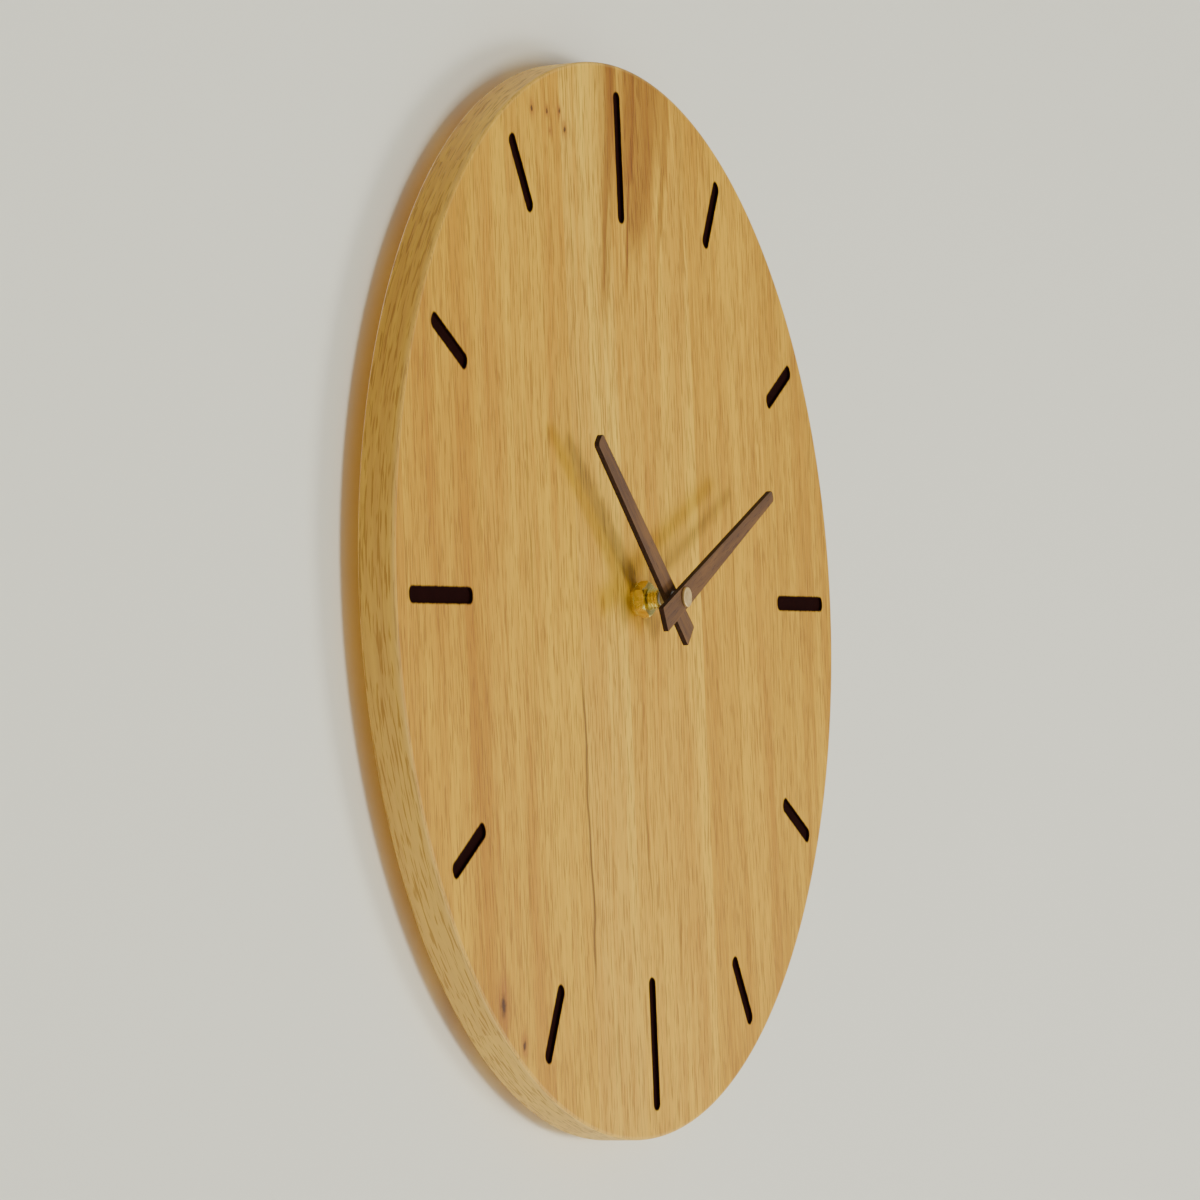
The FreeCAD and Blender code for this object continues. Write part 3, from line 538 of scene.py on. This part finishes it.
# seed, pale wood, deep wood, and whether heartwood runs through the stave
OAK_TINTS = {
    "oak_1": (11, tint(220, 167, 26), tint(186, 126, 14), False),
    "oak_2": (23, tint(228, 177, 36), tint(195, 136, 20), False),
    "oak_3": (31, tint(241, 196, 60), tint(211, 156, 36), True),
    "oak_heart": (47, tint(234, 184, 46), tint(200, 142, 26), True),
    "oak_5": (59, tint(226, 173, 34), tint(190, 133, 20), False),
    "oak_6": (67, tint(221, 169, 32), tint(186, 130, 18), False),
}
oaks = [oak(name, *recipe) for name, recipe in OAK_TINTS.items()]
print("oak materials:", len(oaks))

# %% [markdown]
# ## Walnut
# The hands are sawn from thin walnut by a laser, which leaves their edges charred.  The grain
# runs along each hand, so the pattern is turned by the hand's own angle.

# %% Walnut materials
def walnut(name, turn, pale, deep):
    s = Shader(name)
    along = s.mapped(turn=(0, -turn, 0))
    stretch = s.mapped((1, 1, 0.05), vector=along)
    bands = s.noise(stretch, 420.0, 3.0, 0.4)
    pores = s.fade(s.noise(s.mapped((1, 1, 0.09), vector=along), 2200.0, 1.0), 0.56, 0.7)
    color = s.ramp(bands, [(0.34, deep), (0.66, pale)])
    color = s.mix(pores * 0.5, color, full(tint(50, 30, 18)))
    normal = s.bump(bands * 0.3 - pores * 0.5, 0.08 * MM)
    return s.finish(color, 0.5 + bands * 0.15, normal=normal, specular=0.35)


def charred_edge(name, turn):
    s = Shader(name)
    soot = s.noise(s.mapped((1, 1, 0.3), turn=(0, -turn, 0)), 900.0, 3.0)
    color = s.ramp(soot, [(0.35, tint(30, 16, 12)), (0.7, tint(62, 36, 26))])
    return s.finish(color, 0.62 + soot * 0.2, normal=s.bump(soot, 0.05 * MM), specular=0.3)


WALNUT_PALE, WALNUT_DEEP = tint(118, 80, 38), tint(80, 50, 22)
walnuts = {name: (walnut("walnut_" + name, turn, WALNUT_PALE, WALNUT_DEEP),
                  charred_edge("char_" + name, turn))
           for name, turn in (("hour", HOUR_AT), ("minute", MINUTE_AT))}

# %% [markdown]
# ## Metals, plastics and rubber
# A turned part has fine rings from the tool, a moulded part a slight orange-peel, and plated
# sheet a brushed grain.  Each finish is one short function, used for several pieces.

# %% Other materials
WAVE_PITCH = 0.314        # the pitch of a Wave texture's bands at scale 1


def turned_metal(name, color, dull, roughness, ring_pitch=0.12 * MM, metallic=1.0):
    """Rings from the lathe, round the hands' axis, and light tarnish."""
    s = Shader(name)
    rings = s.node("TexWave", {"wave_type": "BANDS", "bands_direction": "Y"},
                   {"Vector": s.place, "Scale": WAVE_PITCH / ring_pitch, "Distortion": 1.2, "Detail": 1.0})
    cloud = s.noise(s.mapped(), 260.0, 3.0)
    shade = s.mix(s.fade(cloud, 0.35, 0.75), full(color), full(dull))
    return s.finish(shade, roughness + cloud * 0.16, metallic, s.bump(rings, 0.004 * MM))


def brushed_metal(name, color, dull, roughness):
    s = Shader(name)
    brushed = s.noise(s.mapped((0.04, 1, 1)), 1600.0, 2.0)
    cloud = s.noise(s.mapped(), 120.0, 3.0)
    shade = s.mix(s.fade(cloud, 0.3, 0.8), full(color), full(dull))
    return s.finish(shade, roughness + brushed * 0.2, 1.0, s.bump(brushed, 0.006 * MM))


def moulded(name, color, roughness, grain=0.02 * MM, spread=0.25):
    """Moulded plastic or rubber with a fine texture."""
    s = Shader(name)
    skin = s.noise(s.mapped(), 1400.0, 2.0)
    cloud = s.noise(s.mapped(), 60.0, 2.0)
    dark = tuple(value * (1 - spread) for value in color)
    shade = s.ramp(cloud * 0.6 + skin * 0.4, [(0.35, dark), (0.65, color)])
    return s.finish(shade, roughness + skin * 0.15, normal=s.bump(skin, grain), specular=0.4)


def striped(name, color, gap, pitch, roughness, metallic):
    """Fine turns of wire, side by side along Z."""
    s = Shader(name)
    turns = s.node("TexWave", {"wave_type": "BANDS", "bands_direction": "Z"},
                   {"Vector": s.place, "Scale": WAVE_PITCH / pitch, "Distortion": 0.6, "Detail": 1.0})
    shade = s.mix(turns, full(gap), full(color))
    return s.finish(shade, roughness + turns * 0.05, metallic, s.bump(turns, 0.03 * MM))


FINISHES = {
    "brass": turned_metal("turned_brass", tint(250, 236, 132), tint(226, 202, 92), 0.2),
    "bush_metal": turned_metal("bush_aluminium", tint(170, 168, 160), tint(120, 118, 112), 0.32),
    "steel": brushed_metal("zinc_plate", tint(190, 192, 194), tint(140, 143, 148), 0.26),
    "black_plastic": moulded("black_plastic", tint(30, 30, 32), 0.46),
    "white_plastic": moulded("white_plastic", tint(226, 226, 218), 0.40, 0.01 * MM, 0.06),
    "rubber": moulded("rubber", tint(34, 33, 32), 0.72, 0.03 * MM),
    "copper_wire": striped("copper_wire", tint(196, 108, 58), tint(92, 40, 20), 0.12 * MM, 0.3, 0.6),
    "circuit_board": moulded("circuit_board", tint(34, 96, 52), 0.35, 0.01 * MM, 0.3),
    "chip_resin": moulded("chip_resin", tint(20, 20, 20), 0.3, 0.02 * MM),
}
print("other finishes:", len(FINISHES))


# %% Handing a finished piece to the frame
def deliver(piece, body, slot, materials, *nodes):
    """Gives a piece its materials and its body, and hides the nodes that it stands for; the slot is not used.
    """
    piece.data.materials.clear()
    for material in materials:
        piece.data.materials.append(material)
    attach(piece, body)
    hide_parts(*nodes)
    print("%-22s %6d faces, on %s" % (piece.name, len(piece.data.polygons), body))
    return piece


# %% [markdown]
# ## The dial
# The dial starts as one round blank, as it does in the workshop: its rims are eased, the
# grooves, pocket and holes are cut, and then it is sliced into its six staves.  Cutting first
# keeps every groove and rim true across the glue joints.

# %% Dial blank
def cut_grooves(blank):
    grooves = []
    for length, hours in ((LONG_MARK, (0, 3, 6, 9)), (SHORT_MARK, (1, 2, 4, 5, 7, 8, 10, 11))):
        groove = slab("groove", (-MARK_W / 2, MARK_W / 2), (FACE_Y - MARK_DEPTH, FACE_Y + MARK_DEPTH),
                      (MARK_OUTER - length, MARK_OUTER), MARK_CORNER_R)
        grooves += [copied(groove, "groove_copy", math.radians(30 * hour)) for hour in hours]
        bpy.data.objects.remove(groove)
    return cut_away(blank, merged(grooves, "grooves"))


OVERRUN = 1 * MM                     # how far a cutter sticks out past what it cuts
POCKET_GAP, POCKET_CORNER_R = 1.5 * MM, 6 * MM
STEM_HOLE_R, RECESS_CORNER_R = 4.25 * MM, 2 * MM
CAVITY_HALF_W, CAVITY_DEPTH, CAVITY_CORNER_R = 7 * MM, 4.5 * MM, 3.4 * MM
CAVITY_DOWN, CAVITY_UP = 7.9 * MM, 10.2 * MM


def cut_back(blank):
    """The movement's pocket, the stem's hole and the hanger's recess."""
    low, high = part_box("case_front")
    floor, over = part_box("case_gasket")[0].y, BACK_Y + OVERRUN
    pocket = slab("pocket", (low.x - POCKET_GAP, high.x + POCKET_GAP), (floor, over),
                  (low.z - POCKET_GAP, high.z + POCKET_GAP), POCKET_CORNER_R)
    cut_away(blank, pocket)
    cut_away(blank, round_bar("stem_hole", STEM_HOLE_R, FACE_Y - OVERRUN, floor + OVERRUN))
    low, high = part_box("keyhole_plate")
    cut_away(blank, slab("recess", (low.x, high.x), (low.y, over), (low.z, high.z), RECESS_CORNER_R))
    middle = (low.z + high.z) / 2
    cavity = slab("cavity", (-CAVITY_HALF_W, CAVITY_HALF_W), (low.y - CAVITY_DEPTH, low.y + OVERRUN / 2),
                  (middle - CAVITY_DOWN, middle + CAVITY_UP), CAVITY_CORNER_R)
    return cut_away(blank, cavity)


blank = round_bar("dial_blank", DIAL_R, FACE_Y, BACK_Y, 400)
ease(blank, EDGE_R, 5, 60)
cut_back(cut_grooves(blank))

# %% Staves
for node, material in zip(STAVES, oaks):
    stave = copied(blank, node.replace("stave", "oak_stave"))
    low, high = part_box(node)
    if low.x > -DIAL_R + EDGE_R:
        slice_off(stave, (low.x, 0, 0), (-1, 0, 0))
    if high.x < DIAL_R - EDGE_R:
        slice_off(stave, (high.x, 0, 0), (1, 0, 0))
    deliver(smooth(stave, 28), "clock", "oak", [material], node)
bpy.data.objects.remove(blank)


# %% [markdown]
# ## The hands
# A hand is a thin slat that narrows to its tip.  A box is stretched to the hand's length, its
# tip face is scaled in, its corners are rounded, and the hole for the bush is cut.  The thin
# charred edge gets its own material: those faces point neither to the front nor to the back.

# %% Hands
TIP_ROUND, HAND_EASE = 1.6 * MM, 0.12 * MM
HOUR_HOLE_R, MINUTE_HOLE_R = 3.0 * MM, 2.4 * MM


def wooden_hand(name, node, length, tip_w, hole_r, turn):
    front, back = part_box(node)[0].y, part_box(node)[1].y
    half = HAND_TAIL_W / 2
    piece = slab(name, (-half, half), (front, back), (-HAND_TAIL, length))
    pick(piece, "FACE", lambda face: face.normal.z > 0.9)
    bpy.ops.transform.resize(value=(tip_w / HAND_TAIL_W, 1, 1), center_override=(0, front, length))
    close_edit()
    for at_tip, radius in ((True, TIP_ROUND), (False, HAND_CORNER_R)):
        pick(piece, "EDGE", lambda edge: runs_along_y(piece, edge) and (ends(piece, edge)[0].z > 0) == at_tip)
        bpy.ops.mesh.bevel(offset=radius, segments=5, affect="EDGES")
        close_edit()
    cut_away(piece, round_bar("hole", hole_r, front - OVERRUN, back + OVERRUN, 48))
    ease(piece, HAND_EASE, 2, 50)
    piece.rotation_euler = (0, turn, 0)
    return smooth(settle(piece), 30)


def char_edges(piece):
    for face in piece.data.polygons:
        face.material_index = 1 if abs(face.normal.y) < 0.8 else 0


hour_hand = wooden_hand("walnut_hour_hand", "hour_hand", HOUR_LENGTH, HOUR_TIP_W, HOUR_HOLE_R, HOUR_AT)
deliver(hour_hand, "hour", "walnut", walnuts["hour"], "hour_hand")
char_edges(hour_hand)
minute_hand = wooden_hand("walnut_minute_hand", "minute_hand", MINUTE_LENGTH, MINUTE_TIP_W, MINUTE_HOLE_R,
                          MINUTE_AT)
deliver(minute_hand, "minute", "walnut", walnuts["minute"], "minute_hand")
char_edges(minute_hand)

# %% [markdown]
# ## Stem and nut
# The thread is a true helix.  Its V is drawn once by extruding a single point, and the Screw
# modifier sweeps it round the axis while it climbs one pitch a turn.  A plane at each end
# squares it off, and the bore is drilled last.

# %% Threaded stem
THREAD_PITCH, THREAD_DEPTH, THREAD_R = 1.25 * MM, 0.62 * MM, 3.98 * MM
THREAD_SIDES = 48
NECK_R, NECK_L, FLANGE_T = 4.0 * MM, 0.6 * MM, 0.6 * MM
STEM_BORE_R = 2.55 * MM


def helix_bar(name, radius, front, back):
    """A threaded bar along Y."""
    turns = math.ceil((back - front) / THREAD_PITCH) + 3
    start = front - 1.5 * THREAD_PITCH
    bpy.ops.object.select_all(action="DESELECT")
    bpy.ops.mesh.primitive_plane_add(size=THREAD_PITCH, location=(radius, start, 0))
    piece = settle(bpy.context.object)
    piece.name = name
    pick(piece, "FACE", lambda face: True)
    bpy.ops.mesh.select_mode(type="VERT")
    bpy.ops.mesh.merge(type="CENTER")
    crest = 0.12 * THREAD_PITCH
    for step in ((0, crest, 0), (-THREAD_DEPTH, THREAD_PITCH / 2 - crest, 0), (0, crest, 0),
                 (THREAD_DEPTH, THREAD_PITCH / 2 - crest, 0)):
        bpy.ops.mesh.extrude_region_move(TRANSFORM_OT_translate={"value": step})
    close_edit()
    modify(piece, "SCREW", axis="Y", angle=2 * math.pi, screw_offset=THREAD_PITCH, iterations=turns,
           steps=THREAD_SIDES, render_steps=THREAD_SIDES, use_merge_vertices=True, merge_threshold=1e-6)
    slice_off(piece, (0, front, 0), (0, -1, 0))
    slice_off(piece, (0, back, 0), (0, 1, 0))
    pick(piece, "FACE", lambda face: True)
    bpy.ops.mesh.remove_doubles(threshold=1e-6)
    bpy.ops.mesh.normals_make_consistent(inside=False)
    close_edit()
    return piece


low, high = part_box("center_stem")
flange_front = high.y - FLANGE_T
neck_front = flange_front - NECK_L
stem = helix_bar("threaded_stem", THREAD_R, low.y, neck_front)
flange = round_bar("flange", high.x, flange_front, high.y, 64)
neck = round_bar("neck", NECK_R, neck_front, flange_front, 64)
for part in (flange, neck, stem):
    cut_away(part, round_bar("bore", STEM_BORE_R, low.y - OVERRUN, high.y + OVERRUN, 48))
stem = merged([stem, flange, neck], "threaded_stem")
deliver(smooth(stem, 25), "clock", "brass", [FINISHES["brass"]], "center_stem")

# %% [markdown]
# A real hex nut is turned before it is milled: the lathe takes its corners off, and the six
# flats cut through that bevel in curves.  The same order makes the same curves here, so a round
# blank is bevelled first and its flats are sliced off after.

# %% Hex nut
NUT_BEVEL, NUT_EASE, NUT_BORE_R = 0.75 * MM, 0.12 * MM, 4.0 * MM


def hex_nut(name, across_flats, front, back, bore):
    corner_r = across_flats / 2 / math.cos(math.pi / 6)
    piece = round_bar(name, corner_r, front, back, 120)
    ease(piece, NUT_BEVEL, 1, 60)
    for side in range(6):
        angle = math.radians(60 * side)
        outward = Vector((math.cos(angle), 0, math.sin(angle)))
        slice_off(piece, outward * across_flats / 2, outward)
    cut_away(piece, round_bar("nut_bore", bore, front - OVERRUN, back + OVERRUN, 64))
    return smooth(ease(piece, NUT_EASE, 2, 50), 30)


low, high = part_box("stem_nut")
nut = hex_nut("hex_nut", high.x - low.x, low.y, high.y, NUT_BORE_R)
deliver(nut, "clock", "brass", [FINISHES["brass"]], "stem_nut")

# %% [markdown]
# The cap nut in the middle of the minute hand is a small flat disc.  Its face is inset and
# pressed in a hair, which leaves a fine rim that catches the light.

# %% Cap nut
CAP_EASE, CAP_RIM_W, CAP_STEP_W, CAP_SUNK = 0.28 * MM, 0.35 * MM, 0.12 * MM, 0.06 * MM
low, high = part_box("minute_hand_nut")
cap = round_bar("cap_nut", high.x, low.y, high.y, 96)
ease(cap, CAP_EASE, 3, 60)
pick(cap, "FACE", lambda face: face.normal.y < -0.99)
bpy.ops.mesh.inset(thickness=CAP_RIM_W, depth=0)
bpy.ops.mesh.inset(thickness=CAP_STEP_W, depth=-CAP_SUNK)
close_edit()
satin_brass = turned_metal("satin_brass", tint(214, 186, 128), tint(186, 154, 98), 0.42, metallic=0.75)
deliver(smooth(cap, 30), "minute", "brass", [satin_brass], "minute_hand_nut")

# %% [markdown]
# ## Small hardware
# The other small pieces already have the right shape in the frame.  A copy of each is merged,
# freed of its needless edges and given a fine bevel, because no real edge is perfectly sharp.

# %% Refined copies
def refined(node, body, slot, width=0.15 * MM):
    """A copy of a CAD node, merged and with its sharp edges eased."""
    source = frame["nodes"][node]
    piece = bpy.data.objects.new(node + "_eased", source.data.copy())
    bpy.context.scene.collection.objects.link(piece)
    pick(piece, "FACE", lambda face: True)
    bpy.ops.mesh.remove_doubles(threshold=1e-6)
    bpy.ops.mesh.dissolve_limited(angle_limit=math.radians(0.5))
    close_edit()
    ease(piece, width, 2, 42)
    return deliver(smooth(piece, 32), body, slot, [FINISHES[slot]], node)


for node, body, slot in (
        ("stem_washer", "clock", "brass"), ("hour_hand_bush", "hour", "bush_metal"),
        ("minute_hand_bush", "minute", "bush_metal"), ("wall_bumpers", "clock", "rubber"),
        ("keyhole_plate", "clock", "steel"), ("plate_screws", "clock", "steel"),
        ("setting_knob", "knob", "black_plastic")):
    refined(node, body, slot)


# %% [markdown]
# ## Battery
# A cell is a steel can in a printed film that folds over both ends.  The can is turned from a
# round bar: insets and extrusions on its two end faces make the film's lip, the plus button and
# the flat minus end.  The film carries plain bands of colour and no lettering.

# %% Battery
NUB_L, NUB_R, NUB_EASE = 1.4 * MM, 2.75 * MM, 0.35 * MM
FILM_LIP_W, FILM_STEP_W, FILM_T = 0.9 * MM, 0.15 * MM, 0.25 * MM
BAND_FROM, BAND_TO = 11 * MM, 11.4 * MM


def film(name):
    s = Shader(name)
    x = s.axis("X")
    scuff = s.noise(s.mapped(), 300.0, 3.0)
    band = s.fade(x, BAND_FROM, BAND_TO)
    color = s.mix(band, full(tint(32, 38, 50)), full(tint(196, 120, 52)))
    color = s.mix(s.fade(scuff, 0.5, 0.9) * 0.25, color, full(tint(120, 120, 120)))
    return s.finish(color, 0.24 + scuff * 0.15, 0.2)


def battery_cell():
    low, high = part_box("battery")
    radius = (high.z - low.z) / 2
    bpy.ops.object.select_all(action="DESELECT")
    bpy.ops.mesh.primitive_cylinder_add(
        vertices=96, radius=radius, depth=high.x - low.x - NUB_L, end_fill_type="NGON",
        location=((low.x + high.x - NUB_L) / 2, (low.y + high.y) / 2, (low.z + high.z) / 2),
        rotation=(0, math.pi / 2, 0))
    piece = settle(bpy.context.object)
    piece.name = "battery_cell"
    ease(piece, 0.5 * MM, 3, 60)
    pick(piece, "FACE", lambda face: face.normal.x > 0.99)
    bpy.ops.mesh.inset(thickness=FILM_LIP_W, depth=0)
    bpy.ops.mesh.inset(thickness=FILM_STEP_W, depth=-FILM_T)
    bpy.ops.mesh.inset(thickness=radius - 1.55 * MM - NUB_R, depth=0)
    bpy.ops.mesh.inset(thickness=0.15 * MM, depth=NUB_L + 0.1 * MM)
    bpy.ops.mesh.inset(thickness=NUB_EASE, depth=0.15 * MM)
    close_edit()
    pick(piece, "FACE", lambda face: face.normal.x < -0.99)
    bpy.ops.mesh.inset(thickness=FILM_LIP_W, depth=0)
    bpy.ops.mesh.inset(thickness=FILM_STEP_W, depth=-FILM_T)
    close_edit()
    smooth(piece, 30)
    deliver(piece, "battery", "battery_wrap", [film("battery_film"), FINISHES["steel"]], "battery")
    middle = (low.z + high.z) / 2
    axis_y = (low.y + high.y) / 2
    for face in piece.data.polygons:
        off = math.hypot(face.center.y - axis_y, face.center.z - middle)
        face.material_index = 1 if off < radius - 1.2 * MM or face.center.x > high.x - NUB_L else 0


battery_cell()

# %% [markdown]
# ## The rest of the movement
# The case and the pieces sealed inside it are shown as the frame has them, with the finish of
# their material slot.

# %% Finishes for carried-over nodes
for part in frame["record"]["subparts"]:
    node = frame["nodes"][part["node"]]
    if not node.hide_render and part["material_slot"] in FINISHES:
        node.data.materials.clear()
        node.data.materials.append(FINISHES[part["material_slot"]])

# %% [markdown]
# ## Floor, wall and light
# The clock hangs before a pale wall over a pale floor.  The wall is one-sided: from behind it
# lets the view through, and it casts no shadow, so the back of the clock can be seen and lit.
# A large soft lamp in front, a little to the left, gives the hands their soft shadows.  A second
# one stands low on the right, so the disc's own shadow lies along its left and upper rim.

# %% Stage
def pale_surface(name, color, one_sided):
    s = Shader(name)
    cloud = s.noise(s.mapped(), 3.0, 3.0)
    shade = s.mix(cloud, full(tuple(v * 0.97 for v in color)), full(color))
    painted = s.node("BsdfDiffuse", {}, {"Color": shade})
    if not one_sided:
        return s.show(painted)
    behind = s.node("NewGeometry", {}, {}, "Backfacing")
    clear = s.node("BsdfTransparent", {}, {})
    return s.show(s.node("MixShader", {}, {0: behind, 1: painted, 2: clear}))


def stage_plane(name, place, turn, size, material):
    bpy.ops.object.select_all(action="DESELECT")
    bpy.ops.mesh.primitive_plane_add(size=size, location=place, rotation=turn)
    plane = bpy.context.object
    plane.name = name
    plane.data.materials.append(material)
    return plane


WALL_GAP, WALL_SIZE, FLOOR_Z, FLOOR_SIZE = 0.2 * MM, 9.0, -1.2, 12.0
wall = stage_plane("wall", (0, WALL_GAP, 0), (math.pi / 2, 0, 0), WALL_SIZE,
                   pale_surface("wall_paint", tint(243, 242, 225), True))
wall.visible_shadow = False
stage_plane("floor", (0, 0, FLOOR_Z), (0, 0, 0), FLOOR_SIZE,
            pale_surface("floor_paint", tint(232, 231, 225), False))


# %% Lamps
def lamp(name, place, size, power, color=(1, 1, 1)):
    light = bpy.data.lights.new(name, "AREA")
    light.energy, light.size, light.color = power, size, color
    holder = bpy.data.objects.new(name, light)
    bpy.context.scene.collection.objects.link(holder)
    holder.location = place
    holder.rotation_euler = (-Vector(place)).to_track_quat("-Z", "Y").to_euler()
    return holder


lamp("key", (-0.66, -2.9, -0.38), 0.85, 46, (1, 0.985, 0.955))
lamp("right", (1.95, -2.6, -0.95), 1.0, 62, (1, 0.99, 0.97))
lamp("back", (1.4, 2.4, 1.2), 1.6, 45)

ROOM_COLOR, ROOM_STRENGTH = (0.86, 0.87, 0.88, 1), 0.4
world = bpy.data.worlds.new("room")
bpy.context.scene.world = world
world.use_nodes = True
background = world.node_tree.nodes["Background"]
background.inputs["Color"].default_value = ROOM_COLOR
background.inputs["Strength"].default_value = ROOM_STRENGTH
